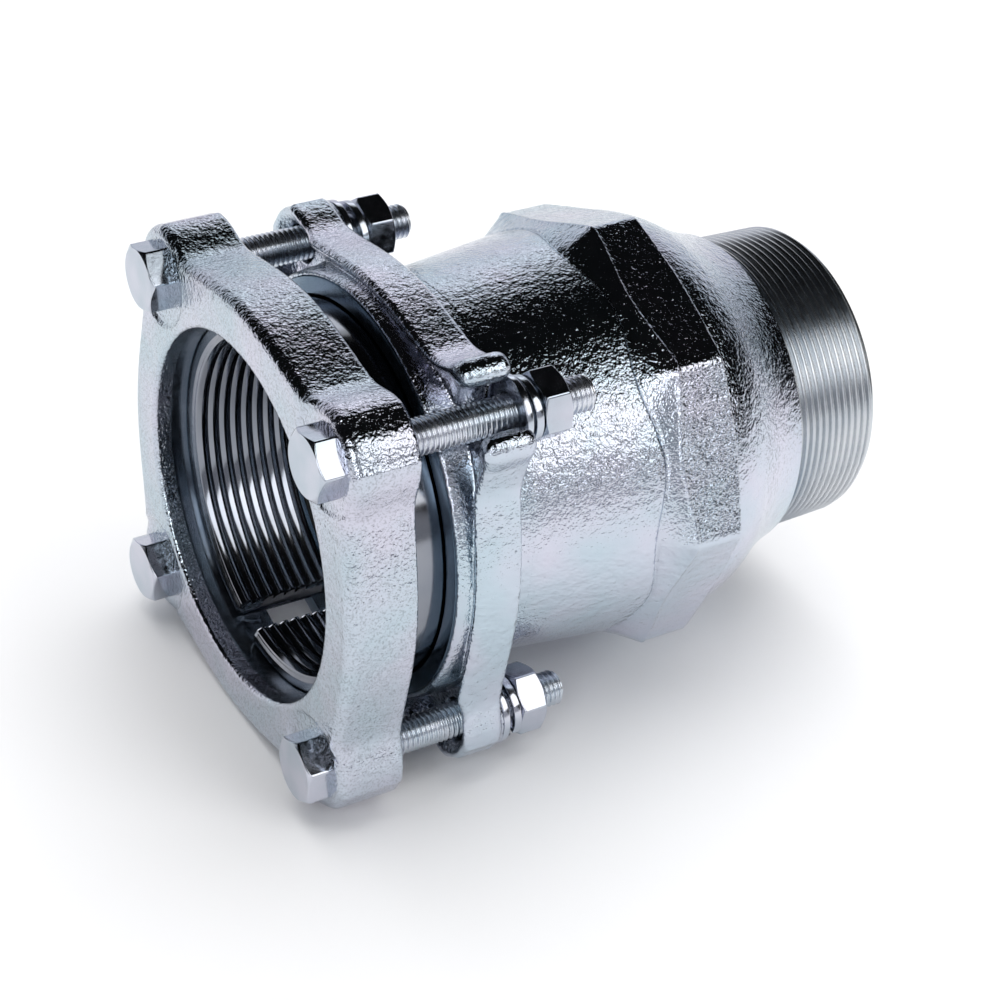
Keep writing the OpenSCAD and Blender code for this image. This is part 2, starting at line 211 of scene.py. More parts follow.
def make_object(name, verts, faces, body, replaces=(), material=None, smooth=True):
    """Mesh object from vertices in mm (n, 3) and quads or triangles (m, 4 or 3), riding on a body."""
    mesh = bpy.data.meshes.new(name)
    verts = np.asarray(verts, np.float64) * MM
    groups = faces if isinstance(faces, list) else [faces]
    mesh.vertices.add(len(verts))
    mesh.vertices.foreach_set("co", verts.astype(np.float32).ravel())
    loops = np.concatenate([g.ravel() for g in groups]).astype(np.int32)
    totals = np.concatenate([np.full(len(g), g.shape[1]) for g in groups]).astype(np.int32)
    starts = np.concatenate([[0], np.cumsum(totals)[:-1]]).astype(np.int32)
    mesh.loops.add(len(loops))
    mesh.loops.foreach_set("vertex_index", loops)
    mesh.polygons.add(len(totals))
    mesh.polygons.foreach_set("loop_start", starts)
    mesh.update(calc_edges=True)
    mesh.polygons.foreach_set("use_smooth", np.full(len(totals), smooth))
    obj = bpy.data.objects.new(name, mesh)
    bpy.context.scene.collection.objects.link(obj)
    if material:
        mesh.materials.append(material)
    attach(obj, body)
    if replaces:
        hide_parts(*replaces)
    return obj


def grid_faces(rows, cols, wrap, flip=False, base=0):
    """Quads of a rows x cols grid of vertices; wrap joins the last column to the first."""
    i = np.arange(rows - 1)[:, None]
    j = np.arange(cols if wrap else cols - 1)[None, :]
    j2 = (j + 1) % cols
    q = np.stack([i * cols + j, i * cols + j2, (i + 1) * cols + j2, (i + 1) * cols + j], -1)
    q = q.reshape(-1, 4) + base
    return q[:, ::-1] if flip else q


def turned(points, n, start=0.0, sweep=TAU, centre=(0, 0)):
    """Vertices and quads of (x, r) profile points turned about an axis parallel to X through centre."""
    pts = np.array(points, float)
    wrap = abs(sweep - TAU) < 1e-9
    cols = n if wrap else n + 1
    a = start + sweep * np.arange(cols) / n
    x = np.repeat(pts[:, 0], cols)
    y = centre[0] + np.outer(pts[:, 1], np.cos(a)).ravel()
    z = centre[1] + np.outer(pts[:, 1], np.sin(a)).ravel()
    return np.stack([x, y, z], -1), grid_faces(len(pts), cols, wrap)


def round_profile(points, radius, steps=3):
    """Closed (x, r) polygon with each corner rounded by an arc of about that radius."""
    pts = np.array(points, float)
    out = []
    n = len(pts)
    for i in range(n):
        p, a, b = pts[i], pts[i - 1], pts[(i + 1) % n]
        u, v = a - p, b - p
        lu, lv = np.hypot(*u), np.hypot(*v)
        cut = min(radius, 0.4 * lu, 0.4 * lv)
        s, e = p + u / lu * cut, p + v / lv * cut
        for t in np.linspace(0, 1, steps + 1):
            out.append((1 - t) ** 2 * s + 2 * t * (1 - t) * p + t * t * e)
    out.append(out[0])
    return np.array(out)


def join(parts):
    """Joins (vertices, faces) pairs into one vertex array and a list of face arrays."""
    verts, faces, base = [], [], 0
    for v, f in parts:
        verts.append(np.asarray(v, float))
        for g in f if isinstance(f, list) else [f]:
            faces.append(g + base)
        base += len(v)
    return np.concatenate(verts), faces


# Cast forms


def surface_net(field, xs, rs, count):
    """Quads on the zero surface of field(x, y, z), sampled on rings of radii rs at places xs.

    Each cell of the (x, r, angle) grid whose corners change sign gets one vertex, at the mean of its
    edge crossings, and each grid edge that changes sign joins the four cells round it. The vertices
    are then moved onto the surface along the field's gradient, and take their normals from it.
    """
    ang = TAU * np.arange(count) / count
    y = rs[:, None] * np.cos(ang)
    z = rs[:, None] * np.sin(ang)
    f = field(xs[:, None, None], y[None], z[None]) + np.zeros((len(xs), len(rs), count))
    f = np.concatenate([f, f[:, :, :1]], axis=2)
    s = f < 0
    total = np.zeros(np.array(s.shape) - 1, np.int8)
    corner = [(a, b, c) for a in (0, 1) for b in (0, 1) for c in (0, 1)]
    nx, nr, nt = total.shape
    for a, b, c in corner:
        total += s[a : a + nx, b : b + nr, c : c + nt]
    active = (total > 0) & (total < 8)
    ii, jj, kk = np.nonzero(active)
    index = np.full(total.shape, -1, np.int64)
    index[ii, jj, kk] = np.arange(len(ii))
    value = {c: f[ii + c[0], jj + c[1], kk + c[2]] for c in corner}
    place = np.zeros((len(ii), 3))
    hits = np.zeros(len(ii))
    for p in corner:
        for axis in range(3):
            if p[axis]:
                continue
            q = tuple(1 if n == axis else p[n] for n in range(3))
            va, vb = value[p], value[q]
            cross = (va < 0) != (vb < 0)
            t = np.where(cross, va / np.where(cross, va - vb, 1), 0)
            point = np.array(p, float)[None] + t[:, None] * (np.array(q) - np.array(p))[None]
            place += np.where(cross[:, None], point, 0)
            hits += cross
    place = place / hits[:, None] + np.stack([ii, jj, kk], -1)
    px = np.interp(place[:, 0], np.arange(len(xs)), xs)
    pr = np.interp(place[:, 1], np.arange(len(rs)), rs)
    pa = place[:, 2] * TAU / count
    verts = np.stack([px, pr * np.cos(pa), pr * np.sin(pa)], -1)
    quads = []
    back = np.roll(index, 1, axis=2)
    m = s[:-1, 1:-1, :-1] != s[1:, 1:-1, :-1]
    a, b, c = np.nonzero(m)
    b = b + 1
    q = np.stack([back[a, b - 1, c], back[a, b, c], index[a, b, c], index[a, b - 1, c]], -1)
    quads.append(np.where(s[a, b, c][:, None], q, q[:, ::-1]))
    m = s[1:-1, :-1, :-1] != s[1:-1, 1:, :-1]
    a, b, c = np.nonzero(m)
    a = a + 1
    q = np.stack([back[a - 1, b, c], index[a - 1, b, c], index[a, b, c], back[a, b, c]], -1)
    quads.append(np.where(s[a, b, c][:, None], q, q[:, ::-1]))
    m = s[1:-1, 1:-1, :-1] != s[1:-1, 1:-1, 1:]
    a, b, c = np.nonzero(m)
    a, b = a + 1, b + 1
    q = np.stack([index[a - 1, b - 1, c], index[a - 1, b, c], index[a, b, c], index[a, b - 1, c]], -1)
    quads.append(np.where(s[a, b, c][:, None], q[:, ::-1], q))
    quads = np.concatenate(quads)
    quads = quads[(quads >= 0).all(1)]

    def gradient(v, e):
        g = np.empty_like(v)
        for n in range(3):
            d = np.zeros(3)
            d[n] = e
            hi, lo = v + d, v - d
            g[:, n] = (field(*hi.T) - field(*lo.T)) / (2 * e)
        return g

    start = verts.copy()
    for _ in range(3):
        g = gradient(verts, 0.05)
        move = field(*verts.T)[:, None] * g / np.maximum((g * g).sum(1), 0.2)[:, None]
        verts = verts - np.clip(move, -0.3, 0.3)
    shift = verts - start
    size = np.maximum(np.linalg.norm(shift, axis=1, keepdims=True), 1e-9)
    verts = start + shift * np.minimum(1, 0.5 / size)
    normal = gradient(verts, 0.12)
    normal /= np.maximum(np.linalg.norm(normal, axis=1, keepdims=True), 1e-9)
    return verts, quads, normal


def lugged(y, z, ring, side, half, lugs, blend):
    """Outline distance: a ring, straight sides between the lugs and a round lug at each corner."""
    ay, az = np.abs(y), np.abs(z)
    sides = np.minimum(np.maximum(ay - side, az - half), np.maximum(ay - half, az - side))
    d = smooth_min(np.hypot(y, z) - ring, sides, 9.0)
    for (sy, sz), r, k in zip(CORNERS, lugs, blend):
        d = smooth_min(d, np.hypot(y - sy * half, z - sz * half) - r, k)
    return d


def rounded_slab(outline, below, above, radius):
    """Slab with an outline between two faces, its edges rounded with a true radius."""
    a = outline + radius
    b = np.maximum(below, above) + radius
    return np.minimum(np.maximum(a, b), 0) + np.hypot(np.maximum(a, 0), np.maximum(b, 0)) - radius


def flange_field(x, y, z):
    """Distance of the clamp flange: rounded slab, less its bore and bolt holes.

    The front face eases back by a smooth step, 3 s^2 - 2 s^3, to a flat bearing round each bolt. Its
    distance along X is taken by 0.93, because a sloping face is nearer than it is along X.
    """
    p = sizes()
    r = np.hypot(y, z)
    h = p.half_pitch
    lugs = [p.flange_lug + v for v in (0.3, -0.3, 0.3, 0.0)]  # cast lugs are never quite equal
    outline = lugged(y, z, p.flange_ring, p.flange_side, h, lugs, [6.0] * 4)
    axis = np.hypot(np.abs(y) - h, np.abs(z) - h)
    step = np.clip((15.6 - axis) / 2.4, 0, 1)
    front = p.flange_x + (p.seat_x - p.flange_x) * step * step * (3 - 2 * step)
    d = rounded_slab(outline, (front - x) * 0.93, x - p.flange_rear, np.where(x < -48, 2.9, 1.5))
    bore = FLANGE_BORE(x)
    d = smooth_max(d, bore - r, 1.4)
    return smooth_max(d, p.hole_r - axis, 0.8)


def front_field(x, y, z):
    """Distance of the body's front: dished plate with two closed and two slotted lugs, collar, barrel.

    The plate's front falls away by RIM inside its edge, and by a smooth step at the closed lugs, which
    have a boss behind. Each slot is a straight channel that flares outwards from a round end, in u
    outwards and v sideways from the bolt, and each arm beside it ends in a rounded knob. The dish is
    steeper than the clamp flange's face, so its distance along X is taken by 0.85.
    """
    p = sizes()
    r = np.hypot(y, z)
    h = p.half_pitch
    lugs = [p.closed_lug, p.slot_lug, p.closed_lug, p.slot_lug]
    outline = lugged(y, z, p.plate_ring, p.plate_side, h, lugs, [6.0, 10.0, 6.0, 10.0])
    near = np.minimum(np.hypot(y - h, z - h), np.hypot(y + h, z + h))
    step = np.clip((18 - near) / 6, 0, 1)
    face = p.plate_x + RIM(-outline) + p.closed_back * step * step * (3 - 2 * step)
    d = rounded_slab(outline, (face - x) * 0.85, x - p.plate_rear, 1.8)
    d = smooth_min(d, np.maximum(near - p.closed_lug + 0.6, np.abs(x - p.plate_rear) - p.boss), 1.5)
    collar = smooth_max(r - COLLAR(x), p.mouth_x - x, 1.2)
    d = smooth_min(d, collar, 0.9)
    for sy, sz in (CORNERS[1], CORNERS[3]):
        u = ((y * sy + z * sz) / math.sqrt(2)) - h * math.sqrt(2)
        v = (y * sz - z * sy) / math.sqrt(2) * sz - p.slot_shift
        wide = p.slot_half + p.slot_flare * np.maximum(u, 0)
        slot = np.where(u > 0, np.abs(v), np.hypot(u, v)) - wide
        d = smooth_max(d, -slot, 6.0)
        knob = np.hypot(u - p.knob_out, np.abs(v) - p.knob_side) - p.knob_r
        d = smooth_min(d, rounded_slab(knob, p.plate_x - x, x - p.plate_rear, 2.8), 3.0)
    for sy, sz in (CORNERS[0], CORNERS[2]):
        d = smooth_max(d, p.hole_r - np.hypot(y - sy * h, z - sz * h), 0.9)
    return smooth_max(d, CAVITY(x) - r, 0.5)


# Turned profiles (x, r) of the castings, and the depth of the plate's dish over the distance from its edge
FLANGE_BORE = profile([(-62, 53.4), (-59.4, 52.2), (-57.6, 51.5), (-53, 51.4), (-50.6, 51.6),
                       (-48, 51.9), (-46, 52.5), (-40, 53.6), (-39.6, 54.1), (-37, 54.2)], 0.25)
RIM = profile([(-9, 0), (1.4, 0), (2.4, 0.6), (5.0, 3.1), (7.0, 4.3), (9.0, 4.6), (30, 4.6)], 0.5)
COLLAR = profile([(-26, 59.7), (-24, 59.9), (-21, 60.6), (-15.5, 60.9), (-10, 60.4), (-7, 58.6),
                  (-5.6, 56.2), (-4, 54.8), (-1.5, 54.2), (38.5, 58.4), (60, 59.2)], 0.7)
CAVITY = profile([(-30, 58.9), (-24.2, 58.7), (-11.4, 58.7), (-8.8, 49.3), (0, 49.3), (0.05, 45.9),
                  (10, 45.9), (14, 50), (38.5, 53.1), (58.5, 53.1), (80.7, 39.5), (130, 39.5)])
REAR = profile([(-1.5, 54.2), (38.5, 58.4), (60, 59.2), (64, 59.7), (68, 59.0), (72, 57.6), (76, 55.8),
                (80, 53.3), (84, 50.9), (88, 49.0), (92, 47.5), (95.4, 46.5)], 0.8)


BARREL_X = 2.3  # first full ring of the barrel, behind the plate


def polygon_radius(a, apothem, sides, turn, sharpness):
    """Radius of a regular polygon with softly rounded corners: apothem / (sum of cos^n)^(1/n).

    Each flat adds the cosine of its angle to a, and a larger n gives sharper corners. The first flat
    faces the angle turn.
    """
    total = 0
    for k in range(sides):
        total = total + np.maximum(np.cos(a - turn - TAU * k / sides), 0) ** sharpness
    return apothem / total ** (1 / sharpness)


def barrel_radius(xs, a):
    """Radius of the body behind its plate, at places xs (rows) and angles a (columns).

    The turned form is REAR. The octagon starts at begin, which is later in the middle of a flat, and its
    front chamfer rises from the turned form to the flats over a run that is shorter there. Behind, it
    falls off along a cone. The larger of both forms counts, with a small fillet. Two Gaussian lines
    mark the chamfer: a groove at its foot and a ridge at its top, as crisp as the casting's edges.
    """
    first_flat = math.radians(22.5)
    middle = 0.5 + 0.5 * np.cos(8 * (a - first_flat))
    begin = 39.6 + 2.9 * middle
    length = 8.6 - 4.9 * middle
    run = xs[:, None] - begin
    turn = REAR(xs)[:, None] + 0 * run
    rear = np.interp(xs, [50, 62.0, 63.9, 66], [66.5, 66.0, 59.6, 30])[:, None] + 0 * run
    octagon = polygon_radius(a, sizes().apothem, 8, first_flat, 170)
    flats = turn + (octagon - turn) * np.clip(run / length, 0, 1)
    flats = flats + 0.35 * np.exp(-((run - length) / 0.5) ** 2)
    turn = turn - 0.5 * np.exp(-((run + 0.3) / 0.6) ** 2)
    flats = np.where(run > 0, flats, turn)
    return smooth_max(turn, smooth_min(flats, rear, 0.7), np.where(xs > 55, 0.7, 0.05)[:, None])


def casting(name, field, xs, rs, count, body, replaces, material):
    """Cast piece from a distance field, with the field's own normals."""
    verts, quads, normal = surface_net(field, xs, rs, count)
    obj = make_object(name, verts, quads, body, replaces, material)
    obj.data.normals_split_custom_set_from_vertices(normal.tolist())
    return obj


# Materials


def rgb(code):
    """Linear colour of an sRGB hex code."""
    v = [int(code[i : i + 2], 16) / 255 for i in (1, 3, 5)]
    return tuple(c / 12.92 if c <= 0.04045 else ((c + 0.055) / 1.055) ** 2.4 for c in v) + (1,)


def add_node(tree, kind, values=None, **settings):
    """New node with its settings and input values; values that are sockets are linked."""
    node = tree.nodes.new(kind)
    for key, value in settings.items():
        setattr(node, key, value)
    for key, value in (values or {}).items():
        if isinstance(value, bpy.types.NodeSocket):
            tree.links.new(value, node.inputs[key])
        else:
            node.inputs[key].default_value = value
    return node


def metal(name, light, dark, roughness, rough_var=0.05, tint_mm=30, bumps=(), grain=None, marks=None):
    """Metal with patches of tint between two colours, uneven gloss and bumps [(size mm, height mm)].

    grain = (size mm, darkest share) darkens the skin in small flecks, and marks = (pitch mm, height mm)
    adds the fine rings that a turning tool leaves along X.
    """
    mat = bpy.data.materials.new(name)
    mat.use_nodes = True
    tree = mat.node_tree
    tree.nodes.clear()
    where = add_node(tree, "ShaderNodeTexCoord").outputs["Object"]
    patches = add_node(tree, "ShaderNodeTexNoise", {"Vector": where, "Scale": 1000 / tint_mm, "Detail": 3.0})
    share = add_node(tree, "ShaderNodeMapRange", {
        "Value": patches.outputs["Fac"], "From Min": 0.35, "From Max": 0.65})
    colour = add_node(tree, "ShaderNodeMix", {
        "Factor": share.outputs["Result"], 6: rgb(dark), 7: rgb(light)}, data_type="RGBA").outputs[2]
    wear = add_node(tree, "ShaderNodeTexNoise", {"Vector": where, "Scale": 1000 / 3.0, "Detail": 2.0})
    rough = add_node(tree, "ShaderNodeMapRange", {
        "Value": wear.outputs["Fac"], "From Min": 0.3, "From Max": 0.7,
        "To Min": roughness - rough_var, "To Max": roughness + rough_var})
    heights = []
    for size, height in bumps:
        lumps = add_node(tree, "ShaderNodeTexNoise", {"Vector": where, "Scale": 1000 / size, "Detail": 2.0})
        heights.append((lumps.outputs["Fac"], height))
    if marks:
        rings = add_node(tree, "ShaderNodeTexWave", {
            "Vector": where, "Scale": math.pi * 100 / marks[0], "Distortion": 0.4, "Detail": 1.0},
            wave_type="BANDS", bands_direction="X")
        heights.append((rings.outputs["Fac"], marks[1]))
    if grain:
        specks = add_node(tree, "ShaderNodeTexNoise", {
            "Vector": where, "Scale": 1000 / grain[0], "Detail": 2.0})
        flecks = add_node(tree, "ShaderNodeMapRange", {
            "Value": specks.outputs["Fac"], "From Min": 0.36, "From Max": 0.5, "To Min": grain[1]})
        colour = add_node(tree, "ShaderNodeMix", {0: 1.0, 6: colour, 7: flecks.outputs["Result"]},
                          data_type="RGBA", blend_type="MULTIPLY").outputs[2]
    values = {"Base Color": colour, "Metallic": 1.0, "Roughness": rough.outputs["Result"]}
    for level, height in heights:
        bump = {"Height": level, "Distance": height * MM, "Strength": 1.0}
        if "Normal" in values:
            bump["Normal"] = values["Normal"]
        values["Normal"] = add_node(tree, "ShaderNodeBump", bump).outputs["Normal"]
    shader = add_node(tree, "ShaderNodeBsdfPrincipled", values)
    add_node(tree, "ShaderNodeOutputMaterial", {"Surface": shader.outputs["BSDF"]})
    return mat


def plain(name, code, roughness):
    """Matt material of one colour."""
    mat = bpy.data.materials.new(name)
    mat.use_nodes = True
    shader = mat.node_tree.nodes["Principled BSDF"]
    shader.inputs["Base Color"].default_value = rgb(code)
    shader.inputs["Roughness"].default_value = roughness
    return mat


def cast_skin():
    """Malleable iron cast in sand, plated with bright zinc.

    The plate follows the sand's print, so the eye sees small hard glints of light and dark between soft
    lumps, on a pale blue to lilac grey. The real grains are a few tenths of a millimetre and too fine
    to show, so they are drawn 1 mm wide, and deeper than they are.
    """
    c = colours()
    return metal("zinc_plated_casting", c.cast_light, c.cast_dark, 0.12, rough_var=0.04,
                 bumps=((2.8, 0.34), (1.0, 0.27), (0.5, 0.03)))


def coarse_cast_skin():
    """The clamp flange's skin: the same plated iron from coarser sand.

    Small dark flecks set it off from the body. Its grains and flecks are drawn coarser and deeper than
    they are, because the real ones are too fine to show.
    """
    c = colours()
    return metal("zinc_plated_coarse_casting", c.coarse_light, c.coarse_dark, 0.13, rough_var=0.04,
                 bumps=((2.6, 0.30), (0.95, 0.27), (0.5, 0.04)), grain=(0.6, 0.72))


def turned_bore():
    """Iron turned on a lathe and plated: darker, with a satin sheen that runs round the bore.

    The tool's rings are drawn 0.5 mm apart, which is coarser than the real feed, to show at all.
    """
    c = colours()
    return metal("zinc_plated_turned", c.machined_light, c.machined_dark, 0.2, bumps=((0.9, 0.01),),
                 marks=(0.5, 0.003))


def cut_thread():
    """Taper thread cut in iron and plated: soft, even highlights along clean flanks."""
    c = colours()
    return metal("zinc_plated_thread", c.thread_light, c.thread_dark, 0.24, rough_var=0.03)


def plated_steel():
    """Pressed steel of heads, nuts and washers, plated with zinc: nearly a mirror, only a little uneven."""
    c = colours()
    return metal("zinc_plated_steel", c.fastener_light, c.fastener_dark, 0.16, tint_mm=12,
                 bumps=((1.6, 0.012),))


def rolled_thread():
    """Rolled and plated bolt thread: softer than the head, so each turn shows one broad highlight."""
    c = colours()
    return metal("zinc_plated_rolled_thread", c.shank_light, c.shank_dark, 0.25, rough_var=0.03, tint_mm=12)


def turned_ring():
    """Bare turned steel of the grip ring: smooth, with sharp reflections on its ridges. Its dark grey is
    partly the steel's own tone and partly painted shade of the bore round it.
    """
    c = colours()
    return metal("turned_ring_steel_painted_shade", c.ring_shaded_light, c.ring_shaded_dark, 0.12, rough_var=0.02)


def passivated_ring():
    """Passivated steel of the pressure ring: blue-grey and satin. Its dark tints also paint the shade of the
    gap in the mouth, which shows as a dark line.
    """
    c = colours()
    return metal("passivated_steel", c.pressure_shaded_light, c.pressure_shaded_dark, 0.22, bumps=((0.6, 0.008),))


def rubber():
    """Moulded seal rubber: black and matt."""
    return plain("black_rubber", colours().rubber, 0.6)


FINISHES = {
    "cast": cast_skin, "coarse": coarse_cast_skin, "machined": turned_bore, "thread": cut_thread,
    "fastener": plated_steel, "shank": rolled_thread, "ring": turned_ring, "pressure": passivated_ring,
    "rubber": rubber,
}
MATERIALS = {}


def materials():
    """All materials of the object by their finish, made once."""
    if not MATERIALS:
        MATERIALS.update({finish: make() for finish, make in FINISHES.items()})
    return MATERIALS


# Pieces


class FITTING_OT_castings(bpy.types.Operator):
    """Adds the clamp flange and the body as smooth cast surfaces."""

    bl_idname = "fitting.castings"
    bl_label = "Castings"

    def execute(self, context):
        clamp_flange()
        body_front()
        body_barrel()
        return {"FINISHED"}


def clamp_flange():
    """The clamp flange as the zero surface of its field, with its seat turned bright."""
    p = sizes()
    mat = materials()
    cell = 0.62
    rs = np.arange(49.6, 83.2, cell)
    xs = np.arange(p.flange_x - 0.9, p.flange_rear + 1.2, cell)
    obj = casting("clamp_flange_cast", flange_field, xs, rs, 600, "clamp", ["clamp_flange"], mat["coarse"])
    seat_r, seat_from_x = 54.6, -53.2
    second_material(obj, mat["machined"],
                    lambda c: (np.hypot(c[:, 1], c[:, 2]) < seat_r) & (c[:, 0] > seat_from_x))


def body_front():
    """Mouth, plate and lugs of the body as the zero surface of their field, with a turned mouth.

    The net's last ring lies at BARREL_X, inside the barrel's first rows, so that the two overlap.
    """
    mat = materials()
    cell = 0.6
    rs = np.arange(44.4, 84.6, 0.7)
    xs = np.arange(BARREL_X - cell * 45, BARREL_X + 0.01, cell)
    obj = casting("body_front_cast", front_field, xs, rs, 560, "housing", ["body"], mat["cast"])
    second_material(obj, mat["machined"], lambda c: np.hypot(c[:, 1], c[:, 2]) < CAVITY(c[:, 0]) + 0.12)


def body_barrel():
    """Barrel, octagon and shoulder: rings of barrel_radius, a turned step at the thread, and the bore."""
    p = sizes()
    count = 600
    lap = [1.5, 1.7]
    xs = np.concatenate([lap, np.arange(BARREL_X, 38, 1.0), np.arange(38, 67, 0.36),
                         np.arange(67, p.neck_x, 0.8), [p.neck_x]])
    a = TAU * np.arange(count) / count
    r = barrel_radius(xs, a)
    r[0] -= 0.3
    outer = np.stack([xs[:, None] + 0 * r, r * np.cos(a), r * np.sin(a)], -1).reshape(-1, 3)
    step = turned([(p.neck_x, REAR(p.neck_x)), (p.neck_x + 0.4, 46.1), (p.neck_x + 0.6, 45.2),
                   (p.neck_x + 0.6, 42.0)], count)
    bore_xs = (1.5, 10, 10.2, 12, 14, 20, 38.5, 58.5, 62, 70, 80.7, 90, 100)
    bore, quads = turned([(x, CAVITY(x)) for x in bore_xs], 160)
    verts, faces = join([(outer, grid_faces(len(xs), count, True)), step, (bore, quads[:, ::-1])])
    make_object("body_barrel_cast", verts, faces, "housing", ["body"], materials()["cast"])


def second_material(obj, material, test):
    """Gives the faces whose centres pass the test (in mm) a second material."""
    mesh = obj.data
    mesh.materials.append(material)
    c = np.empty(len(mesh.polygons) * 3, np.float32)
    mesh.polygons.foreach_get("center", c)
    pick = test(c.reshape(-1, 3).astype(float) * 1000)
    mesh.polygons.foreach_set("material_index", pick.astype(np.int32))
    mesh.update()


class FITTING_OT_pipe_thread(bpy.types.Operator):
    """Adds the taper pipe thread with its helix, end face and waterway."""

    bl_idname = "fitting.pipe_thread"
    bl_label = "Pipe thread"

    def execute(self, context):
        pipe_thread()
        return {"FINISHED"}


def pipe_thread():
    """Taper thread: r = crest(x) - depth * (1 - tooth(phase)), with phase = x / pitch - angle / turn.

    The crest grows by 1 in 32 of the radius from the end face. A tooth is a clipped triangle over one
    pitch, its crest eased, that runs out over the last turn under a chamfer.
    """
    p = sizes()
    pitch = 25.4 / 11
    depth = 0.64 * pitch
    taper = 1 / 32
    n = 300
    xs = np.arange(p.neck_x + 0.2, p.end_x - 0.001, pitch / 11)
    a = TAU * np.arange(n) / n
    crest = p.thread_end_r + (p.end_x - xs) * taper
    phase = (xs[:, None] / pitch - a[None] / TAU) % 1
    tooth = np.clip(1.16 - 2.32 * np.abs(phase - 0.5), 0, 1)
    tooth = np.where(tooth > 0.86, 0.86 + (tooth - 0.86) * 0.4, tooth) / 0.916
    run_out = np.clip((p.end_x - 0.2 - xs) / 1.9, 0, 1)[:, None]
    r = crest[:, None] - depth * (1 - tooth * run_out)
    r = np.minimum(r, np.interp(xs, [p.end_x - 1.8, p.end_x], [44.5, 41.9])[:, None])
    verts = np.stack([(xs[:, None] + 0 * r).ravel(), (r * np.cos(a)).ravel(), (r * np.sin(a)).ravel()], -1)
    last = r[-1].mean()
    face = turned([(xs[-1], last - 0.1), (p.end_x, last - 0.3), (p.end_x, p.waterway_r + 0.6),
                   (p.end_x - 0.5, p.waterway_r), (p.end_x - 25, p.waterway_r)], n)
    verts, faces = join([(verts, grid_faces(len(xs), n, True)), face])
    make_object("body_pipe_thread", verts, faces, "housing", ["body"], materials()["thread"])


def hexagon(x0, x1, turn, chamfers, centre, bore=0.0):
    """Hexagon prism along X, the smooth minimum of a rounded hexagon and a 30 degree cone at each end.

    chamfers says for either end whether its corners are turned off. Flat faces close the ends, as far
    in as the bore.
    """
    n = 168
    a = TAU * np.arange(n) / n
    near = np.linspace(0.12, 1.6, 9)
    xs = np.concatenate([[x0], x0 + near, [0.5 * (x0 + x1)], x1 - near[::-1], [x1]])
    rise = 1 / math.tan(math.radians(30))
    face_r = 8.4
    cones = [face_r + d * rise if chamfer else np.full(len(xs), 99.0)
             for d, chamfer in zip((xs - x0, x1 - xs), chamfers)]
    limit = np.minimum(*cones)[:, None]
    flats = polygon_radius(a, sizes().hexagon_flats / 2, 6, turn + math.radians(30), 160)
    r = smooth_min(flats[None] + 0 * limit, limit + 0 * a[None], 0.18)
    pts = np.stack([(xs[:, None] + 0 * r), centre[0] + r * np.cos(a), centre[1] + r * np.sin(a)], -1)
    parts = [(pts.reshape(-1, 3), grid_faces(len(xs), n, True))]
    for row, x, flip in ((r[0], x0, True), (r[-1], x1, False)):
        radii = np.stack([row, row - 0.04, row - 0.35] + ([np.full(n, bore)] if bore else []))
        ring = np.stack([x + 0 * radii, centre[0] + radii * np.cos(a), centre[1] + radii * np.sin(a)], -1)
        faces = [grid_faces(len(radii), n, True, flip=flip)]
        if not bore:
            last = 2 * n + np.arange(n)[None, :]
            faces.append(last[:, ::-1] if flip else last)
        parts.append((ring.reshape(-1, 3), faces))
    return join(parts)


def screw(x0, x1, crest, depth, pitch, centre):
    """Helical 60 degree thread along X: r = crest - depth * groove(phase), with a chamfered, closed tip."""
    n = 44
    tip = 1.0
    xs = np.arange(x0, x1 + 1e-6, pitch / 9)
    a = TAU * np.arange(n) / n
    phase = (xs[:, None] / pitch - a[None] / TAU) % 1
    groove = np.clip(np.abs(phase - 0.5) * 2 * 1.25 - 0.125, 0, 1)
    r = crest - depth * groove
    r = np.minimum(r, crest - np.clip(tip - (x1 - xs), 0, tip)[:, None])
    pts = np.stack([xs[:, None] + 0 * r, centre[0] + r * np.cos(a), centre[1] + r * np.sin(a)], -1)
    cap = np.stack([xs[-1] + 0 * a, centre[0] + r[-1] * np.cos(a), centre[1] + r[-1] * np.sin(a)], -1)
    return join([(pts.reshape(-1, 3), grid_faces(len(xs), n, True)), (cap, np.arange(n)[None, :])])


# How far each head, nut and spring washer is turned, in degrees, for bolts 1 to 4
HEAD_TURN = (46.5, 51.5, 33.5, 40.5)
NUT_TURN = (22, 16, 42, 24)
COIL_TURN = (200, 300, 215, 30)


class FITTING_OT_fasteners(bpy.types.Operator):
    """Adds the bolts, nuts and washers."""

    bl_idname = "fitting.fasteners"
    bl_label = "Fasteners"

    def execute(self, context):
        h = sizes().half_pitch
        turns = zip(CORNERS, HEAD_TURN, NUT_TURN, COIL_TURN)
        for number, ((sy, sz), head_turn, nut_turn, coil_turn) in enumerate(turns, 1):
            centre = (sy * h, sz * h)
            bolt(number, centre, math.radians(head_turn))
            nut(number, centre, math.radians(nut_turn))
            flat_washer(number, centre)
            spring_washer(number, centre, math.radians(coil_turn))
        return {"FINISHED"}


def ends_of(node):
    """Places in mm of a CAD node's two ends along X."""
    return [corner[0] for corner in box_mm(node)]


def fastener(piece, node, body, verts, faces):
    """Plated piece that stands for a CAD node of the fasteners."""
    steel = materials()["fastener"]
    return make_object(f"{node}_{piece}", verts, faces, body, [node], steel)


def bolt(number, centre, turn):
    """Hexagon head with its outer corners turned off, and a thread up to the head."""
    x0, x1 = ends_of(f"bolt_{number}")
    seat = sizes().seat_x
    head = hexagon(x0, seat, turn, (True, False), centre)
    shank = screw(seat, x1, 4.97, 0.8, sizes().bolt_pitch, centre)
    obj = fastener("screw", f"bolt_{number}", "clamp", *join([head, shank]))
    second_material(obj, materials()["shank"], lambda c: c[:, 0] > seat + 0.01)


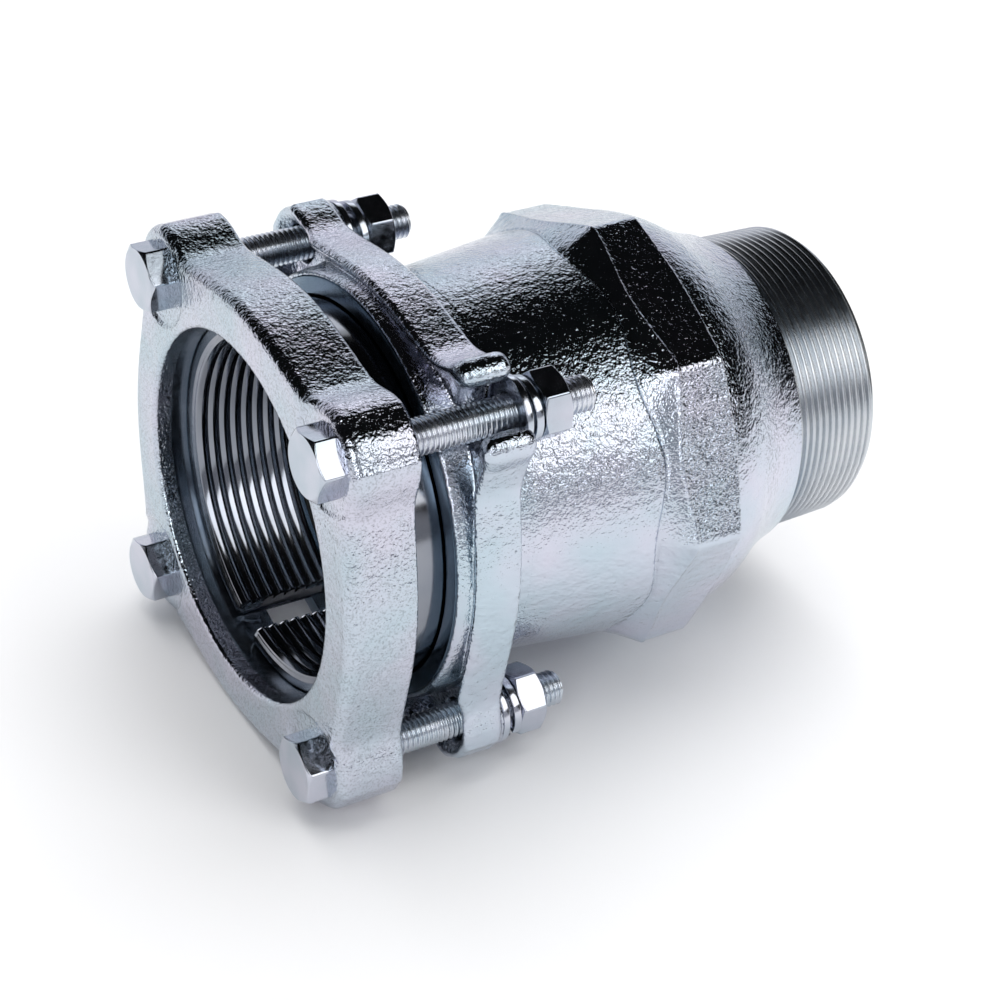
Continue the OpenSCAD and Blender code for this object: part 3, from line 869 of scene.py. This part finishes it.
def nut(number, centre, turn):
    """Hexagon with the corners of both ends turned off, and a plain hole wall round the bolt."""
    x0, x1 = ends_of(f"nut_{number}")
    hole_r = 5.03
    outside = hexagon(x0, x1, turn, (True, True), centre, bore=hole_r)
    wall, quads = turned([(x0, hole_r), (x1, hole_r)], 168, centre=centre)
    verts, faces = join([outside, (wall, quads[:, ::-1])])
    fastener("hexagon", f"nut_{number}", f"nut_{number}", verts, faces)


def flat_washer(number, centre):
    """Turned rectangle with rounded corners."""
    x0, x1 = ends_of(f"flat_washer_{number}")
    verts, faces = turned(round_profile([(x0, 5.5), (x0, 10), (x1, 10), (x1, 5.5)], 0.35), 96, centre=centre)
    fastener("disc", f"flat_washer_{number}", "housing", verts, faces[:, ::-1])


def spring_washer(number, centre, turn):
    """One coil: a rectangle turned by 350 degrees whose place along X rises evenly with the angle."""
    x0, x1 = ends_of(f"spring_washer_{number}")
    coil = sizes().coil
    n = 96
    gap = math.radians(10)
    prof = round_profile([(x0, 5.1), (x0, 9.05), (x0 + coil, 9.05), (x0 + coil, 5.1)], 0.3)
    verts, faces = turned(prof, n, turn + gap / 2, TAU - gap, centre)
    verts[:, 0] += np.tile(np.linspace(0, x1 - x0 - coil, n + 1), len(prof))
    fastener("coil", f"spring_washer_{number}", "housing", verts, [faces[:, ::-1], *slit_ends(prof, n)])


def slit_ends(prof, n):
    """Two faces that close a closed profile turned by less than a full turn in n steps."""
    first = np.arange(len(prof) - 1) * (n + 1)
    return first[None, :], (first + n)[::-1][None, :]


class FITTING_OT_rings(bpy.types.Operator):
    """Adds the split grip ring, the pressure ring and the seal."""

    bl_idname = "fitting.rings"
    bl_label = "Rings"

    def execute(self, context):
        grip_ring()
        pressure_ring()
        seal_ring()
        return {"FINISHED"}


def grip_ring():
    """Turned ring, split over 9.6 mm, with a cone outside and eight saw-tooth ridges inside.

    Each ridge climbs slowly from the mouth's side and drops steeply towards the seal, so that it bites
    when the pipe is pulled.
    """
    x0, x1 = ends_of("grip_ring")
    root, tip = 48.0, 46.4
    ridges, pitch = 8, 3.45
    slit = 9.6
    pts = [(x0, 49.0), (x0, 51.5), (x0 + 0.5, 51.95), (-40.0, 53.3), (-24.6, 53.3), (x1, 51.45), (x1, 46.5)]
    for k in reversed(range(ridges)):
        x = x0 + 1.5 + k * pitch
        pts += [(x + 1.9, root), (x + 1.75, tip), (x + 0.55, tip), (x - 0.75, 47.15), (x - 1.05, root)]
    prof = round_profile(pts, 0.12, 2)
    n = 300
    half = math.asin(slit / 2 / root)
    middle = math.radians(284)
    verts, quads = turned(prof, n, middle + half, TAU - 2 * half)
    make_object("grip_ring_turned", verts, [quads[:, ::-1], *slit_ends(prof, n)], "clamp", ["grip_ring"],
                materials()["ring"])


def pressure_ring():
    """Turned ring that fills the mouth, with a cone for the grip ring's tail and a lip behind it."""
    x0, x1 = ends_of("pressure_ring")
    lip = 1.2
    prof = round_profile([(x0, 53.95), (x0, 58.66), (x1, 58.66), (x1, 46.4), (x1 - lip, 46.4),
                          (x1 - lip, 51.75), (x0 + 0.3, 53.7)], 0.12)
    verts, quads = turned(prof, 300)
    make_object("pressure_ring_turned", verts, quads[:, ::-1], "clamp", ["pressure_ring"],
                materials()["pressure"])


def seal_ring():
    """Moulded ring with a nose along the pipe, on a mesh of its own. In the fitting it is squeezed towards
    its far end as the clamp closes; here it keeps its moulded shape.
    """
    x0, x1 = ends_of("seal_ring")
    prof = round_profile([(x0, 46.5), (x0, 58.2), (-11.7, 58.2), (-9.1, 49.0), (x1, 49.0), (x1, 47.4),
                          (x1 - 6, 46.8)], 0.5)
    verts, quads = turned(prof, 200)
    obj = make_object("seal_ring_moulded", verts, quads[:, ::-1], "housing", ["seal_ring"],
                      materials()["rubber"])
    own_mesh(obj)


# Stage


class FITTING_OT_stage(bpy.types.Operator):
    """Adds the pale floor, the studio light and the camera."""

    bl_idname = "fitting.stage"
    bl_label = "Stage"

    def execute(self, context):
        pale_floor()
        studio()
        # Broad white highlight on the barrel, the ridges and the front lug
        lamp("softbox", 28, 35, 1.4, (0.80, 0.92), 2.1, True)
        # Bright faces of the bolt heads, the grip ring and the flange's left side
        lamp("card", -44, 29, 1.4, (0.60, 0.85), 2.8, True)
        # Pale sheen along the tops of the lugs
        lamp("back_card", 152, 36, 0.66, (0.20, 0.20), 0.8, True)
        # Evens out the floor and softens the shadow, and is not seen in the metal
        lamp("top_fill", 147, 74, 1.6, (2.4, 2.4), 2.3, False)
        camera()
        context.scene.view_settings.view_transform = "Standard"
        return {"FINISHED"}


def pale_floor():
    """Square of white floor under the lowest point of the frame."""
    low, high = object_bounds()
    half, z = 1.8, low.z
    corners = [(-half, -half, z), (half, -half, z), (half, half, z), (-half, half, z)]
    mesh = bpy.data.meshes.new("floor")
    mesh.from_pydata(corners, [], [(0, 1, 2, 3)])
    floor = bpy.data.objects.new("floor", mesh)
    bpy.context.scene.collection.objects.link(floor)
    mesh.materials.append(plain("pale_floor", colours().floor, 0.9))
    floor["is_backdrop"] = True


def studio():
    """Surroundings that are bright low down and nearly black overhead, as a photographer's table is.

    The dark top is what gives the plated metal its black bands. Its lower edge is at the horizon to
    either side and climbs with lobe, the share of a direction along the table's length. The side
    behind the camera is dimmer than the far side.
    """
    world = bpy.data.worlds.new("studio")
    bpy.context.scene.world = world
    world.use_nodes = True
    tree = world.node_tree
    tree.nodes.clear()

    where = add_node(tree, "ShaderNodeTexCoord").outputs["Generated"]
    height = add_node(tree, "ShaderNodeSeparateXYZ", {"Vector": where}).outputs["Z"]
    lobe = add_node(tree, "ShaderNodeVectorMath", {0: where, 1: (0.3907, 0.9205, 0)},
                    operation="DOT_PRODUCT").outputs["Value"]
    lobe = add_node(tree, "ShaderNodeMath", {0: lobe}, operation="ABSOLUTE").outputs[0]
    edge = add_node(tree, "ShaderNodeMapRange", {
        "Value": lobe, "From Min": 0.5, "From Max": 0.92, "To Max": 0.80}).outputs["Result"]
    above = add_node(tree, "ShaderNodeMath", {0: height, 1: edge}, operation="SUBTRACT").outputs[0]
    top = add_node(tree, "ShaderNodeMapRange", {
        "Value": above, "From Min": -0.07, "From Max": 0.05, "To Min": 1.0, "To Max": 0.006})
    side = add_node(tree, "ShaderNodeVectorMath", {0: where, 1: (0.10, -1.0, 0)},
                    operation="DOT_PRODUCT").outputs["Value"]
    near = add_node(tree, "ShaderNodeMapRange", {
        "Value": side, "From Min": -0.1, "From Max": 0.6, "To Min": 0.85, "To Max": 0.42})
    level = add_node(tree, "ShaderNodeMath", {0: top.outputs["Result"], 1: near.outputs["Result"]},
                     operation="MULTIPLY").outputs[0]
    sky = add_node(tree, "ShaderNodeBackground", {"Color": rgb(colours().sky), "Strength": level})
    add_node(tree, "ShaderNodeOutputWorld", {"Surface": sky.outputs["Background"]})


def toward(azimuth, elevation):
    """Unit vector at an azimuth from -Y towards +X and an elevation, both in degrees."""
    az, el = math.radians(azimuth), math.radians(elevation)
    return Vector((math.sin(az) * math.cos(el), -math.cos(az) * math.cos(el), math.sin(el)))


def lamp(name, azimuth, elevation, distance, size, radiance, mirror):
    """Rectangular soft lamp in a direction from the fitting, facing it; mirror shows it in reflections."""
    light = bpy.data.lights.new(name, "AREA")
    light.shape = "RECTANGLE"
    light.size, light.size_y = size
    light.energy = radiance * math.pi * size[0] * size[1]
    obj = bpy.data.objects.new(name, light)
    bpy.context.scene.collection.objects.link(obj)
    direction = toward(azimuth, elevation)
    obj.location = direction * distance
    obj.rotation_mode = "QUATERNION"
    obj.rotation_quaternion = direction.to_track_quat("Z", "Y")
    obj.visible_glossy = mirror


def camera():
    """Camera at the photograph's angle: in front, to the left and above, and rolled by 5 degrees."""
    scene = bpy.context.scene
    cam = bpy.data.objects.new("camera", bpy.data.cameras.new("camera"))
    scene.collection.objects.link(cam)
    cam.data.lens = 91.83
    cam.data.sensor_width = 36
    cam.data.clip_start = 0.01
    back = toward(-33.52, 35.04)
    place = Vector((-0.30446, -0.49883, 0.40030))
    roll = math.radians(5.0)
    level = Vector((0, 0, 1)).cross(back).normalized()
    upright = back.cross(level)
    right = level * math.cos(roll) + upright * math.sin(roll)
    up = upright * math.cos(roll) - level * math.sin(roll)
    rows = [(right[i], up[i], back[i], place[i]) for i in range(3)]
    cam.matrix_world = Matrix((*rows, (0, 0, 0, 1)))
    scene.camera = cam


class FITTING_PT_panel(bpy.types.Panel):
    """Sizes, colours and pieces of the fitting."""

    bl_label = "Fitting"
    bl_idname = "FITTING_PT_panel"
    bl_space_type = "VIEW_3D"
    bl_region_type = "UI"
    bl_category = "Fitting"

    def draw(self, context):
        for key in FittingSizes.__annotations__:
            self.layout.prop(context.scene.fitting_sizes, key)
        for key in FittingColours.__annotations__:
            self.layout.prop(context.scene.fitting_colours, key)
        for op in OPERATORS:
            self.layout.operator(op.bl_idname)


OPERATORS = (FITTING_OT_castings, FITTING_OT_pipe_thread, FITTING_OT_fasteners, FITTING_OT_rings,
             FITTING_OT_stage)
CLASSES = (FittingSizes, FittingColours, *OPERATORS, FITTING_PT_panel)


def register():
    """Registers the classes, and the scene's sizes and colours."""
    for cls in CLASSES:
        bpy.utils.register_class(cls)
    bpy.types.Scene.fitting_sizes = bpy.props.PointerProperty(type=FittingSizes)
    bpy.types.Scene.fitting_colours = bpy.props.PointerProperty(type=FittingColours)


def unregister():
    """Takes them away again."""
    del bpy.types.Scene.fitting_colours
    del bpy.types.Scene.fitting_sizes
    for cls in reversed(CLASSES):
        bpy.utils.unregister_class(cls)


def main():
    """Builds the whole scene."""
    register()
    bpy.ops.fitting.castings()
    bpy.ops.fitting.pipe_thread()
    bpy.ops.fitting.fasteners()
    bpy.ops.fitting.rings()
    bpy.ops.fitting.stage()


if __name__ == "__main__":
    main()
